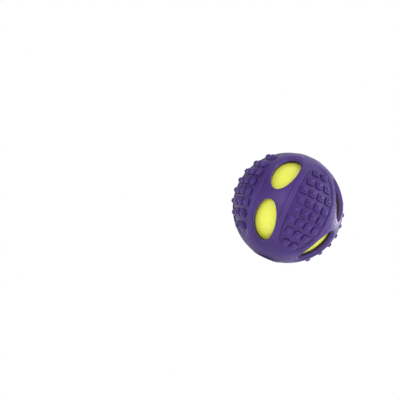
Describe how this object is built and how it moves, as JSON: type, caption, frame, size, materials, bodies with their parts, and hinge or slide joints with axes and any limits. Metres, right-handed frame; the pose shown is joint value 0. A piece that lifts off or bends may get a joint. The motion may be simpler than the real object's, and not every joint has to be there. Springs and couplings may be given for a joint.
{
  "type": "treat dispensing ball",
  "caption": "Rubber treat dispensing ball for a dog: a nubbed purple shell with oval windows and pole openings round a free-turning yellow treat ball with a port at each end.",
  "frame": {"origin": "centre of the ball, which is also the middle of its box", "axes": "+Z through the two pole openings, upwards as the ball stands on its lower ring; +X and +Y through the middles of two neighbouring pairs of windows, so the nub panels face the diagonals"},
  "size_m": [0.0792, 0.0792, 0.0784],
  "materials": {
    "shell_rubber": "moulded natural rubber, purple, satin with a fine mould grain",
    "treat_ball_plastic": "moulded plastic, lemon yellow, semi-gloss"
  },
  "bodies": {
    "shell": {"shell_upper": "shell_rubber", "shell_lower": "shell_rubber"},
    "treat_ball": {"treat_ball_upper": "treat_ball_plastic", "treat_ball_lower": "treat_ball_plastic"}
  },
  "joints": [
    {"name": "treat_ball_turn", "type": "hinge", "parent": "shell", "child": "treat_ball", "pos_m": [0, 0, 0], "axis": [1, 0, 0], "continuous": true}
  ]
}
